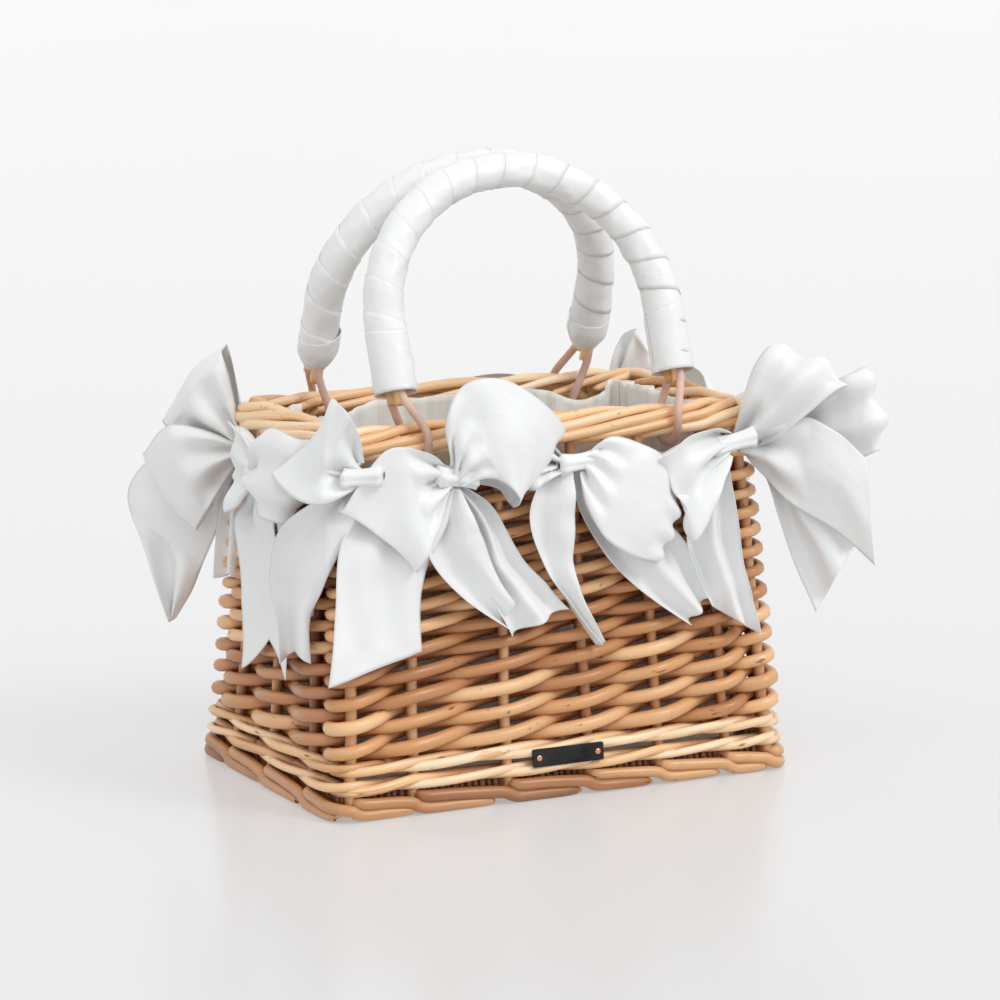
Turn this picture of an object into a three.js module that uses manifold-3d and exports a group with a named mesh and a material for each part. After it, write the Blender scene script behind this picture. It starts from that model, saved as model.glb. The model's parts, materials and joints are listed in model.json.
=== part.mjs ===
// Flower girl basket: a square-cornered willow basket with a cotton lining, satin bows tied
// under the rim, a small metal plate, and two satin-wrapped handles on leather loops.
// Millimetres, +Z up. The origin is the middle of the face it stands on, +X along its length.
import * as THREE from 'three';
import { mergeVertices } from 'three/addons/utils/BufferGeometryUtils.js';
import Module from 'manifold-3d';

const wasm = await Module();
wasm.setup();

// ---- Driving dimensions ----
const GAP = 0.3; // clearance between pieces that touch
const HALF = 0.5;

const body = { baseLength: 270, baseWidth: 177, rimLength: 246, rimWidth: 133, height: 198, corner: 16 };
const wall = { thickness: 15 };
const foot = { height: 11, thickness: 17, bevel: 2.5 };
const lowerWale = { height: 20.7, bevel: 2 };
const upperWale = { height: 9, bevel: 2 };
const rim = { height: 17, thickness: 17, bevel: 3.5 };
const stake = { radius: 2.75, sides: 6, footEnd: 4, belowRim: 8 };
const longSideStakes = [-0.95, -0.675, -0.25, 0.12, 0.455, 0.775, 0.97]; // shares of the half length
const shortSideStakes = [-0.61, 0.04, 0.62]; // shares of the half width

const base = { lift: 2, thickness: 8, stickCount: 5, stickRadius: 3, stickSides: 6 };
const lining = { thickness: 1.2, belowRim: 6, notchWidth: 34, notchDepth: 21 };

const plate = { length: 41, height: 9.5, thickness: 1.2, corner: 1, middle: 22.4, studInset: 3.5 };
const stud = { headRadius: 2, headHeight: 0.8, shankRadius: 0.9, shankLength: 4 };

const handle = {
  span: 161, legTop: 60, foot: 24, rise: 137, coreRadius: 8.5, wrapRadius: 10.8,
  apexGap: 0.6, steps: 24, sides: 10,
};
const loop = {
  radius: 2.2, turnClear: 0.1, slotClear: 0.8, eyeRadius: 3.6, spread: 144, settle: 22,
  steps: 26, sides: 6,
};

const bow = {
  thickness: 14, cornerThickness: 24, bevel: 3, standOff: 7.4, wallGap: 0.8, belowRim: 22,
  knotHalf: 10, tieHeight: 8, notch: 12,
};
// Each bow: where it is tied along its side, which way it faces, and its loops and tails.
const FRONT = 0;
const RIGHT = Math.PI / 2;
const BACK = Math.PI;
const LEFT = -Math.PI / 2;
const wideLoop = { out: 32, top: 6, bottom: -48 };
const highLoop = { out: 32, top: 36, bottom: -26 };
const endLoop = { out: 30, top: 12, bottom: -40 };
const cornerLoop = { out: 36, top: 40, bottom: -38 };
const longTail = { at: -17, width: 30, length: 112 };
const shortTail = { at: 16, width: 27, length: 90 };
const slimTail = { at: -11, width: 19, length: 96 };
const slimTailTwin = { at: 11, width: 19, length: 104 };
const spreadTail = { at: -20, width: 28, length: 100 };
const spreadTailTwin = { at: 20, width: 28, length: 112 };

const bows = [
  { name: 'bow_front_left', side: FRONT, along: -60, loops: [wideLoop, highLoop] },
  { name: 'bow_front_middle', side: FRONT, along: 13, loops: [highLoop, wideLoop] },
  { name: 'bow_back_left', side: BACK, along: -60, loops: [wideLoop, highLoop] },
  { name: 'bow_back_middle', side: BACK, along: 13, loops: [highLoop, wideLoop] },
  { name: 'bow_end_left', side: LEFT, along: 0, loops: [endLoop, endLoop] },
  { name: 'bow_end_right', side: RIGHT, along: 0, loops: [endLoop, endLoop] },
];
const cornerBows = [
  { name: 'bow_corner_front_left', side: LEFT / 2, x: -1, y: -1 },
  { name: 'bow_corner_front_right', side: RIGHT / 2, x: 1, y: -1 },
  { name: 'bow_corner_back_left', side: LEFT / 2 + LEFT, x: -1, y: 1 },
  { name: 'bow_corner_back_right', side: RIGHT / 2 + RIGHT, x: 1, y: 1 },
];

// ---- Sizes that follow ----
const leanX = (body.baseLength - body.rimLength) / 2 / body.height;
const leanY = (body.baseWidth - body.rimWidth) / 2 / body.height;
const halfLengthAt = (z) => body.baseLength / 2 - leanX * z;
const halfWidthAt = (z) => body.baseWidth / 2 - leanY * z;

const lowerWaleBottom = foot.height + GAP;
const lowerWaleTop = lowerWaleBottom + lowerWale.height;
// The rim border is a bundle that each leather loop turns round with clearance. Below it the wall
// is open but for the stakes, down to just under the loops.
const rimLeanOut = leanY * rim.height / 2;
const rimReach = Math.hypot(rim.height / 2, rim.thickness / 2 - rim.bevel + rimLeanOut);
const turnRadius = rimReach + loop.turnClear + loop.radius;
const rimBottom = body.height - rim.height;
const hingeZ = body.height - rim.height / 2;
const upperWaleTop = hingeZ - turnRadius - loop.radius - loop.slotClear;
const upperWaleBottom = upperWaleTop - upperWale.height;
const weaveBottom = lowerWaleTop + GAP;
const weaveTop = upperWaleBottom - GAP;

const liningTop = body.height - lining.belowRim;
const liningInset = Math.max(wall.thickness, rim.thickness, foot.thickness) + GAP;
const baseTop = base.lift + base.thickness;
const knotHeight = body.height - bow.belowRim;
const stakeTop = body.height - stake.belowRim;
const hingeY = halfWidthAt(hingeZ) - rim.thickness / 2;
const apexY = handle.wrapRadius + handle.apexGap / 2;
const handleLean = Math.asin((hingeY - apexY) / handle.rise);
// Each strand of a leather loop runs straight from the rim to its eye, and its tilt brings it
// inside the cane just where the cane ends.
const strandRoom = handle.coreRadius - loop.radius;
const strandTilt = Math.asin(turnRadius / Math.hypot(handle.foot, strandRoom))
  - Math.atan2(strandRoom, handle.foot);
const eyeHeight = (turnRadius - loop.eyeRadius) / Math.sin(strandTilt);

// ---- Materials ----
const colours = {
  willow: { color: 0xc8935a, roughness: 0.45, metalness: 0 },
  paleWillow: { color: 0xdcb373, roughness: 0.42, metalness: 0 },
  cotton: { color: 0xefebe2, roughness: 0.95, metalness: 0 },
  satin: { color: 0xf7f7f7, roughness: 0.35, metalness: 0 },
  cane: { color: 0xd9b47e, roughness: 0.5, metalness: 0 },
  leather: { color: 0xc9a190, roughness: 0.6, metalness: 0 },
  plateMetal: { color: 0x1f2224, roughness: 0.4, metalness: 0.8 },
  copper: { color: 0xc98a5e, roughness: 0.3, metalness: 0.9 },
};

const basket = new THREE.Group();
const root = new THREE.Group();
basket.add(root);

function addPiece(parent, name, geometry, look) {
  const mesh = new THREE.Mesh(geometry, new THREE.MeshStandardMaterial(look));
  mesh.name = name;
  parent.add(mesh);
  return mesh;
}

// ---- Solids: joining and cutting ----
function toSolid(geometry) {
  const plain = geometry.clone();
  plain.deleteAttribute('normal');
  plain.deleteAttribute('uv');
  const merged = mergeVertices(plain);
  const vertProperties = new Float32Array(merged.attributes.position.array);
  return new wasm.Manifold(new wasm.Mesh({
    numProp: 3, vertProperties, triVerts: new Uint32Array(merged.index.array),
  }));
}

function toGeometry(solid) {
  const mesh = solid.getMesh();
  const geometry = new THREE.BufferGeometry();
  geometry.setAttribute('position', new THREE.BufferAttribute(mesh.vertProperties, 3));
  geometry.setIndex(new THREE.BufferAttribute(mesh.triVerts, 1));
  const faceted = geometry.toNonIndexed();
  faceted.computeVertexNormals();
  return faceted;
}

function cut(geometry, tools) {
  let solid = toSolid(geometry);
  for (const tool of tools) solid = solid.subtract(toSolid(tool));
  return toGeometry(solid);
}

// ---- Outlines ----
function roundedRect(halfX, halfY, radius, target = new THREE.Shape()) {
  const [cx, cy] = [halfX - radius, halfY - radius];
  const quarter = Math.PI / 2;
  target.absarc(cx, cy, radius, 0, quarter, false);
  target.absarc(-cx, cy, radius, quarter, 2 * quarter, false);
  target.absarc(-cx, -cy, radius, 2 * quarter, 3 * quarter, false);
  target.absarc(cx, -cy, radius, 3 * quarter, 4 * quarter, false);
  target.closePath();
  return target;
}

function wallOutline(inset, target) {
  const radius = Math.max(body.corner - inset, 3);
  return roundedRect(body.baseLength / 2 - inset, body.baseWidth / 2 - inset, radius, target);
}

// Moves every corner inward with height, so that the walls lean as the basket's do.
function leanIn(geometry) {
  const place = geometry.attributes.position;
  for (let i = 0; i < place.count; i += 1) {
    const z = place.getZ(i);
    place.setX(i, place.getX(i) - Math.sign(place.getX(i)) * leanX * z);
    place.setY(i, place.getY(i) - Math.sign(place.getY(i)) * leanY * z);
  }
  return geometry;
}

function raise(shape, bottom, top, bevel = 0) {
  const geometry = new THREE.ExtrudeGeometry(shape, {
    depth: top - bottom - 2 * bevel, bevelEnabled: bevel > 0, bevelThickness: bevel,
    bevelSize: bevel, bevelOffset: -bevel, bevelSegments: 1, curveSegments: 4,
  });
  geometry.translate(0, 0, bottom + bevel);
  return leanIn(geometry);
}

// A woven band that goes all the way round, from its outer face in to its thickness.
function band(bottom, top, thickness, bevel) {
  const shape = wallOutline(0);
  shape.holes.push(wallOutline(thickness, new THREE.Path()));
  return raise(shape, bottom, top, bevel);
}

// A round rod between two points.
function rodBetween(from, to, radius, sides) {
  const along = new THREE.Vector3().subVectors(to, from);
  const geometry = new THREE.CylinderGeometry(radius, radius, along.length(), sides);
  const turn = new THREE.Quaternion();
  turn.setFromUnitVectors(new THREE.Vector3(0, 1, 0), along.clone().normalize());
  geometry.applyQuaternion(turn);
  const middle = new THREE.Vector3().addVectors(from, to).multiplyScalar(HALF);
  return geometry.translate(middle.x, middle.y, middle.z);
}

// ---- Stakes: the uprights that the walls are woven on ----
function stakeLines() {
  const inset = wall.thickness / 2;
  const point = (shareX, shareY, z) => new THREE.Vector3(
    shareX * (halfLengthAt(z) - inset), shareY * (halfWidthAt(z) - inset), z,
  );
  const line = (name, shareX, shareY) => ({
    name, at: (z) => point(shareX, shareY, z),
  });
  const lines = [];
  longSideStakes.forEach((share, i) => lines.push(line(`stake_front_${i + 1}`, share, -1)));
  longSideStakes.forEach((share, i) => lines.push(line(`stake_back_${i + 1}`, share, 1)));
  shortSideStakes.forEach((share, i) => lines.push(line(`stake_left_${i + 1}`, -1, share)));
  shortSideStakes.forEach((share, i) => lines.push(line(`stake_right_${i + 1}`, 1, share)));
  return lines;
}

const stakes = stakeLines();
for (const { name, at } of stakes) {
  const rod = rodBetween(at(stake.footEnd), at(stakeTop), stake.radius, stake.sides);
  addPiece(root, name, rod, colours.willow);
}
const stakeChannels = stakes.map(({ at }) => rodBetween(
  at(stake.footEnd - GAP), at(stakeTop + GAP), stake.radius + GAP, stake.sides,
));

// ---- Plate and its two rivet studs, on the lower wale ----
const plateFrame = new THREE.Group();
plateFrame.position.set(0, -halfWidthAt(plate.middle), plate.middle);
plateFrame.rotation.x = Math.PI / 2 - Math.atan(leanY);
root.add(plateFrame);
plateFrame.updateWorldMatrix(true, false);

const studPlaces = [-1, 1].map((side) => side * (plate.length / 2 - plate.studInset));

function shankHole(x, radius) {
  const geometry = new THREE.CylinderGeometry(radius, radius, 2 * (stud.shankLength + GAP), 12);
  return geometry.rotateX(Math.PI / 2).translate(x, 0, 0);
}

function rivet() {
  const top = GAP + plate.thickness + GAP;
  const profile = [
    [0, -stud.shankLength], [stud.shankRadius, -stud.shankLength], [stud.shankRadius, top],
    [stud.headRadius, top], [stud.headRadius * HALF, top + stud.headHeight],
    [0, top + stud.headHeight],
  ].map(([r, y]) => new THREE.Vector2(r, y));
  return new THREE.LatheGeometry(profile, 12).rotateX(Math.PI / 2);
}

function addPlate() {
  const shape = roundedRect(plate.length / 2, plate.height / 2, plate.corner);
  const slab = new THREE.ExtrudeGeometry(shape, {
    depth: plate.thickness, bevelEnabled: false, curveSegments: 3,
  }).translate(0, 0, GAP);
  const holes = studPlaces.map((x) => shankHole(x, stud.shankRadius + GAP));
  addPiece(plateFrame, 'name_plate', cut(slab, holes), colours.plateMetal);
  studPlaces.forEach((x, i) => {
    const mesh = addPiece(plateFrame, `plate_stud_${i + 1}`, rivet(), colours.copper);
    mesh.position.x = x;
  });
}
addPlate();

// ---- Woven bands ----
function addBands() {
  const studHoles = studPlaces.map((x) => (
    shankHole(x, stud.shankRadius + GAP).applyMatrix4(plateFrame.matrixWorld)
  ));
  const add = (name, geometry, look, extra = []) => (
    addPiece(root, name, cut(geometry, [...stakeChannels, ...extra]), look)
  );
  add('foot_border', band(0, foot.height, foot.thickness, foot.bevel), colours.willow);
  add('lower_wale', band(lowerWaleBottom, lowerWaleTop, wall.thickness, lowerWale.bevel),
    colours.paleWillow, studHoles);
  add('side_weave', band(weaveBottom, weaveTop, wall.thickness), colours.willow);
  add('upper_wale', band(upperWaleBottom, upperWaleTop, wall.thickness, upperWale.bevel),
    colours.paleWillow);
  add('rim_border', band(rimBottom, body.height, rim.thickness, rim.bevel), colours.paleWillow);
}
addBands();

// ---- Base: a woven panel on lengthwise sticks ----
function addBase() {
  const inset = foot.thickness + GAP;
  const middle = base.lift + base.thickness / 2;
  const stickEnd = halfLengthAt(middle) - inset - 2 * GAP;
  const reach = halfWidthAt(middle) - inset;
  const panel = raise(wallOutline(inset), base.lift, baseTop);
  const channels = [];
  for (let i = 0; i < base.stickCount; i += 1) {
    const y = reach * ((2 * i + 1) / base.stickCount - 1);
    const ends = (x) => [new THREE.Vector3(-x, y, middle), new THREE.Vector3(x, y, middle)];
    const stick = rodBetween(...ends(stickEnd), base.stickRadius, base.stickSides);
    addPiece(root, `base_stick_${i + 1}`, stick, colours.willow);
    const channel = ends(stickEnd + foot.thickness);
    channels.push(rodBetween(...channel, base.stickRadius + GAP, base.stickSides));
  }
  addPiece(root, 'base_weave', cut(panel, channels), colours.willow);
}
addBase();

// ---- Lining: an open cotton bag, notched where the leather loops pass ----
function addLining() {
  const bottom = baseTop + GAP;
  const outer = raise(wallOutline(liningInset), bottom, liningTop);
  const hollow = raise(wallOutline(liningInset + lining.thickness), bottom + lining.thickness,
    liningTop + lining.thickness);
  const notchBottom = liningTop - lining.notchDepth;
  const notchHeight = body.height - notchBottom;
  const notches = [-1, 1].map((side) => (
    new THREE.BoxGeometry(lining.notchWidth, body.baseWidth, notchHeight)
      .translate(side * loop.spread / 2, 0, notchBottom + notchHeight / 2)
  ));
  addPiece(root, 'lining', cut(outer, [hollow, ...notches]), colours.cotton);
}
addLining();

// ---- Bows ----
// A bow's outline, seen from outside: two loops, two tails with notched ends, and the knot.
function bowOutline([leftLoop, rightLoop], [leftTail, rightTail]) {
  const knot = bow.knotHalf;
  const shape = new THREE.Shape();
  shape.moveTo(0, knot * HALF);
  const halfBow = (side, lobe, tail) => {
    const inner = tail.at - side * tail.width / 2;
    const outer = tail.at + side * tail.width / 2;
    return [
      [side * lobe.out * HALF, lobe.top], [side * lobe.out, lobe.top * HALF],
      [side * lobe.out, lobe.bottom * HALF], [side * lobe.out * 0.7, lobe.bottom],
      [outer, lobe.bottom - knot * HALF], [outer, -tail.length],
      [tail.at, -tail.length + bow.notch], [inner, -tail.length],
      [side * 2, lobe.bottom - knot],
    ];
  };
  const right = halfBow(1, rightLoop, rightTail);
  const left = halfBow(-1, leftLoop, leftTail).reverse();
  for (const [x, y] of [...right, [0, -knot * 2], ...left]) shape.lineTo(x, y);
  shape.closePath();
  return shape;
}

function bowSolid(loops, tails, thickness) {
  const geometry = new THREE.ExtrudeGeometry(bowOutline(loops, tails), {
    depth: thickness - 2 * bow.bevel, bevelEnabled: true, bevelThickness: bow.bevel,
    bevelSize: bow.bevel, bevelOffset: -bow.bevel, bevelSegments: 1,
  });
  geometry.translate(0, 0, bow.standOff + bow.bevel);
  const tieDepth = bow.standOff + thickness / 2 - bow.wallGap;
  const tie = new THREE.BoxGeometry(bow.knotHalf, bow.tieHeight, tieDepth)
    .translate(0, -bow.knotHalf * HALF, bow.wallGap + tieDepth / 2);
  return toGeometry(toSolid(geometry).add(toSolid(tie)));
}

function addBow(name, place, side, lean, geometry) {
  const facing = new THREE.Group();
  facing.position.set(place.x, place.y, knotHeight);
  facing.rotation.z = side;
  const mesh = addPiece(facing, name, geometry, colours.satin);
  mesh.rotation.x = Math.PI / 2 - Math.atan(lean);
  root.add(facing);
}

function addBows() {
  const halfX = halfLengthAt(knotHeight);
  const halfY = halfWidthAt(knotHeight);
  for (const { name, side, along, loops } of bows) {
    const onLongSide = side === FRONT || side === BACK;
    const out = onLongSide ? halfY : halfX;
    const place = new THREE.Vector3(along, -out, 0);
    place.applyAxisAngle(new THREE.Vector3(0, 0, 1), side);
    const tails = onLongSide ? [longTail, shortTail] : [slimTail, slimTailTwin];
    const solid = bowSolid(loops, tails, bow.thickness);
    addBow(name, place, side, onLongSide ? leanY : leanX, solid);
  }
  const tuck = body.corner * (1 - Math.SQRT1_2);
  for (const { name, side, x, y } of cornerBows) {
    const place = new THREE.Vector3(x * (halfX - tuck), y * (halfY - tuck), 0);
    const lean = (leanX + leanY) * Math.SQRT1_2;
    const tails = [spreadTail, spreadTailTwin];
    const solid = bowSolid([cornerLoop, cornerLoop], tails, bow.cornerThickness);
    addBow(name, place, side, lean, solid);
  }
}
addBows();

// ---- Handles: a bent cane, its satin wrap and a leather loop at each foot ----
// Local frame of a handle: X across, Z up its own plane, origin on its hinge line.
function archCurve() {
  const halfSpan = handle.span / 2;
  const crown = handle.rise - handle.legTop;
  const points = [new THREE.Vector3(-halfSpan, 0, handle.foot)];
  const turns = 12;
  for (let i = 0; i <= turns; i += 1) {
    const angle = Math.PI * (1 - i / turns);
    const x = halfSpan * Math.cos(angle);
    points.push(new THREE.Vector3(x, 0, handle.legTop + crown * Math.sin(angle)));
  }
  points.push(new THREE.Vector3(halfSpan, 0, handle.foot));
  return new THREE.CatmullRomCurve3(points, false, 'centripetal');
}

function circle(radius, target = new THREE.Shape()) {
  return target.absarc(0, 0, radius, 0, 2 * Math.PI, false);
}

function alongArch(shape) {
  return new THREE.ExtrudeGeometry(shape, {
    steps: handle.steps, extrudePath: archCurve(), curveSegments: handle.sides / 2,
  });
}

// A slot through each end of the cane, where the leather loop passes.
function loopSlots() {
  const width = 2 * (loop.radius + GAP);
  const top = eyeHeight + loop.eyeRadius + loop.radius + GAP;
  const height = top - handle.foot + loop.radius;
  return [-1, 1].map((side) => (
    new THREE.BoxGeometry(width, 4 * handle.coreRadius, height)
      .translate(side * handle.span / 2, 0, top - height / 2)
  ));
}

// A closed loop of leather cord: a wide turn round the rim and a small eye in the cane's slot.
function loopCurve(side) {
  const xAt = (z) => {
    const share = THREE.MathUtils.clamp(z / loop.settle, 0, 1);
    return side * THREE.MathUtils.lerp(loop.spread / 2, handle.span / 2, share);
  };
  const arcPoints = (centreZ, radius, from, to, count) => {
    const points = [];
    for (let i = 0; i <= count; i += 1) {
      const angle = THREE.MathUtils.lerp(from, to, i / count);
      const z = centreZ + radius * Math.sin(angle);
      points.push(new THREE.Vector3(xAt(z), radius * Math.cos(angle), z));
    }
    return points;
  };
  const tilt = strandTilt;
  const rimTurn = arcPoints(0, turnRadius, Math.PI - tilt, 2 * Math.PI + tilt, 12);
  const eyeTurn = arcPoints(eyeHeight, loop.eyeRadius, tilt, Math.PI - tilt, 5);
  const strandY = turnRadius / Math.cos(tilt) - loop.settle * Math.tan(tilt);
  const settled = (y) => new THREE.Vector3(xAt(loop.settle), y, loop.settle);
  const points = [...rimTurn, settled(strandY), ...eyeTurn, settled(-strandY)];
  return new THREE.CatmullRomCurve3(points, true, 'centripetal');
}

function addHandle(name, turn) {
  const facing = new THREE.Group();
  facing.rotation.z = turn;
  basket.add(facing);
  const swing = new THREE.Group();
  swing.position.set(0, -hingeY, hingeZ);
  swing.rotation.x = -handleLean;
  facing.add(swing);

  const cane = cut(alongArch(circle(handle.coreRadius)), loopSlots());
  addPiece(swing, `${name}_core`, cane, colours.cane);
  const sleeve = circle(handle.wrapRadius);
  sleeve.holes.push(circle(handle.coreRadius + GAP, new THREE.Path()));
  addPiece(swing, `${name}_wrap`, alongArch(sleeve), colours.satin);
  for (const [word, side] of [['left', -1], ['right', 1]]) {
    const ring = new THREE.TubeGeometry(loopCurve(side), loop.steps, loop.radius, loop.sides, true);
    addPiece(swing, `${name}_loop_${word}`, ring, colours.leather);
  }
}
addHandle('handle_front', 0);
addHandle('handle_back', Math.PI);

export default basket;
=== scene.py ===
# Flower girl basket: willow weave, cotton lining, satin bows, wrapped handles on leather loops.
# Every place is worked out from the frame's own boxes. Lengths are metres; MM turns millimetres.
import json
import math
import random

import bpy
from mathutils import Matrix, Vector, noise


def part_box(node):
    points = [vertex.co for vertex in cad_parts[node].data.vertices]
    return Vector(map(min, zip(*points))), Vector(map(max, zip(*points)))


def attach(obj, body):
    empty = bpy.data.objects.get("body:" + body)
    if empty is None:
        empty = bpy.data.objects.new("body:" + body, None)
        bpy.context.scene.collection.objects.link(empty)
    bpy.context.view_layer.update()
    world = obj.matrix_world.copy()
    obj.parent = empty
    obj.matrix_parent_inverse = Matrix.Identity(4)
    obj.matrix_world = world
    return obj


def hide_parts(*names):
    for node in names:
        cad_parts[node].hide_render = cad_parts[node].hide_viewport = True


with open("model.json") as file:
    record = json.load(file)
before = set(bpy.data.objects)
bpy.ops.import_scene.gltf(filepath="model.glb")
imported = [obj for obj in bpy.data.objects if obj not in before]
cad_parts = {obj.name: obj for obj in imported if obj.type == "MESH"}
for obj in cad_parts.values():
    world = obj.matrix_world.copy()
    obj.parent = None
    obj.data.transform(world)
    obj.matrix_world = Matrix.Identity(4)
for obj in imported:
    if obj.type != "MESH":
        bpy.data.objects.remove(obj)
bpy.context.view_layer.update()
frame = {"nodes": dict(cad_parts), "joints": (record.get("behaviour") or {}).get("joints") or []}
MM = 0.001
CORNER = 6 * MM
FOOT_CORNER = 5 * MM
RIM_INSET = 8.5 * MM
FOOT_INSET = 8.5 * MM
BASKET = "basket"


# ---------------------------------------------------------------- finishes
class Value:
    """A socket of a finish, on which sums are written as plain expressions."""

    def __init__(self, finish, socket):
        self.finish, self.socket = finish, socket

    def math(self, operation, other=0.0):
        return self.finish.node("ShaderNodeMath", {"operation": operation}, {0: self, 1: other})

    def __add__(self, other):
        return self.math("ADD", other)

    def __sub__(self, other):
        return self.math("SUBTRACT", other)

    def __mul__(self, other):
        return self.math("MULTIPLY", other)

    __radd__ = __add__
    __rmul__ = __mul__


class Finish:
    """One finish: its node tree, its shader, and the one way that nodes are added to it."""

    def __init__(self, name, roughness=0.5, **constants):
        self.material = bpy.data.materials.new(name)
        self.material.use_nodes = True
        self.tree = self.material.node_tree
        self.shader = self.tree.nodes["Principled BSDF"]
        self.shader.inputs["Roughness"].default_value = roughness
        for socket, value in constants.items():
            self.shader.inputs[socket.replace("_", " ")].default_value = value

    def node(self, kind, settings, inputs, output=0):
        made = self.tree.nodes.new(kind)
        for name, value in settings.items():
            if name == "stops":
                self.set_stops(made.color_ramp.elements, value)
            else:
                setattr(made, name, value)
        for key, value in inputs.items():
            self.feed(made.inputs[key], value)
        return Value(self, made.outputs[output])

    def set_stops(self, elements, stops):
        while len(elements) < len(stops):
            elements.new(0.5)
        for element, (place, colour) in zip(elements, stops):
            element.position = place
            element.color = (*colour, 1)

    def feed(self, socket, value):
        if isinstance(value, Value):
            self.tree.links.new(value.socket, socket)
        else:
            socket.default_value = value

    def wear(self, socket, value):
        """Feeds one of the shader's own sockets."""
        self.feed(self.shader.inputs[socket], value)

    def place(self):
        return self.node("ShaderNodeTexCoord", {}, {}, output="Object")

    def map_axes(self, name):
        """The two numbers of a piece's own map: across or round it, and along it in metres."""
        uv = self.node("ShaderNodeUVMap", {"uv_map": name}, {})
        parts = {"kind": "ShaderNodeSeparateXYZ", "settings": {}, "inputs": {0: uv}}
        return self.node(**parts), self.node(**parts, output=1)

    def vector(self, x, y, z):
        return self.node("ShaderNodeCombineXYZ", {}, {0: x, 1: y, 2: z})

    def attribute(self, name):
        return self.node("ShaderNodeAttribute", {"attribute_name": name}, {}, output="Fac")

    def cloud(self, vector, scale, detail=3.0, rough=0.5):
        inputs = {"Vector": vector, "Scale": scale, "Detail": detail, "Roughness": rough}
        return self.node("ShaderNodeTexNoise", {}, inputs)

    def ramp(self, factor, stops):
        return self.node("ShaderNodeValToRGB", {"stops": stops}, {0: factor})

    def mask(self, value, low, high):
        """0 below low, 1 above high, and smooth between."""
        settings = {"interpolation_type": "SMOOTHSTEP"}
        inputs = {0: value, 1: low, 2: high, 3: 0.0, 4: 1.0}
        return self.node("ShaderNodeMapRange", settings, inputs)

    def mix(self, factor, first, second, blend="MIX"):
        settings = {"data_type": "RGBA", "blend_type": blend}
        return self.node("ShaderNodeMix", settings, {0: factor, 6: first, 7: second}, output=2)

    def bump(self, height, distance, strength=1.0):
        inputs = {"Strength": strength, "Distance": distance, "Height": height}
        self.wear("Normal", self.node("ShaderNodeBump", {}, inputs))


def shade(red, green, blue):
    """A colour given as it looks, 0 to 255, turned into the light it reflects."""
    def one(level):
        level /= 255
        return level / 12.92 if level <= 0.04045 else ((level + 0.055) / 1.055) ** 2.4
    return (one(red), one(green), one(blue))


def solid(colour):
    return (*colour, 1)


def willow_finish(name, ripe, light, deep):
    """Peeled, steamed willow: grain along each rod, a tone for each, knots, and painted shade that
    darkens the rods deep inside the wall.
    """
    finish = Finish(name, 0.42, Coat_Weight=0.3, Coat_Roughness=0.25)
    around, along = finish.map_axes("rod_map")
    tone = finish.attribute("tone")
    turn = around * (2 * math.pi)
    round_x, round_y = turn.math("COSINE"), turn.math("SINE")
    seed = tone * 37.0
    slow = finish.cloud(finish.vector(round_x * 0.25, round_y * 0.25, along * 9.0 + seed), 1.0)
    grain = finish.cloud(finish.vector(round_x * 5.0, round_y * 5.0, along * 22.0 + seed), 1.0, 5.0)
    speck = finish.cloud(finish.vector(round_x * 1.1, round_y * 1.1, along * 95.0 + seed), 1.0, 2.0)
    body = tone * 0.55 + slow * 0.75 - 0.16
    colour = finish.ramp(body, [(0.18, deep), (0.45, ripe), (0.8, light)])
    fine = finish.mask(grain, 0.36, 0.66)
    colour = finish.mix(fine * 0.5, colour, solid(tuple(c * 1.5 for c in light)), "MULTIPLY")
    dark = finish.mask(speck, 0.66, 0.73)
    colour = finish.mix(dark * 0.75, colour, solid(shade(92, 52, 30)))
    # painted shade: rods are multiplied darker the deeper they sit inside the wall, below the rim,
    # standing in for shade between the rods
    painted_inside_shade = finish.mask(finish.attribute("depth"), 0.25, 1.0)
    colour = finish.mix(painted_inside_shade * 0.9, colour, solid((0.46, 0.27, 0.17)), "MULTIPLY")
    finish.wear("Base Color", colour)
    finish.wear("Roughness", grain * 0.25 + 0.26 + dark * 0.25)
    finish.bump(grain * 0.7 + speck * 0.5, 0.35 * MM, 0.55)
    return finish.material


def cut_finish():
    """The sawn end of a rod: pale wood round a darker pith."""
    finish = Finish("cut_willow", 0.75)
    rings = finish.cloud(finish.place(), 900.0, 3.0)
    colour = finish.ramp(rings, [(0.3, shade(190, 140, 90)), (0.7, shade(236, 205, 160))])
    finish.wear("Base Color", colour)
    finish.bump(rings, 0.2 * MM, 0.5)
    return finish.material


def satin_finish(name, across_tint, gloss):
    """White satin: a sheen that changes with soft creases, and a very fine weft rib."""
    finish = Finish(name, gloss, Sheen_Weight=0.25, Sheen_Roughness=0.35, Anisotropic=0.35)
    across, along = finish.map_axes("cloth_map")
    spot = finish.vector(across * 28.0, along * 9.0, 0.0)
    soft = finish.cloud(spot, 1.0, 3.0)
    rib = (along * 15000.0).math("SINE")
    creases = finish.cloud(finish.vector(across * 70.0, along * 22.0, 2.0), 1.0, 4.0, 0.55)
    edge = finish.mask((across - 0.025).math("ABSOLUTE"), 0.0236, 0.0242)
    tint = finish.ramp(soft, [(0.3, across_tint), (0.7, shade(241, 242, 242))])
    finish.wear("Base Color", finish.mix(edge * 0.5, tint, solid(shade(226, 227, 229))))
    finish.wear("Roughness", soft * 0.22 + (gloss - 0.11))
    finish.bump(creases * 1.6 + rib * 0.008 + edge * 0.08, 1.2 * MM, 0.6)
    return finish.material


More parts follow.
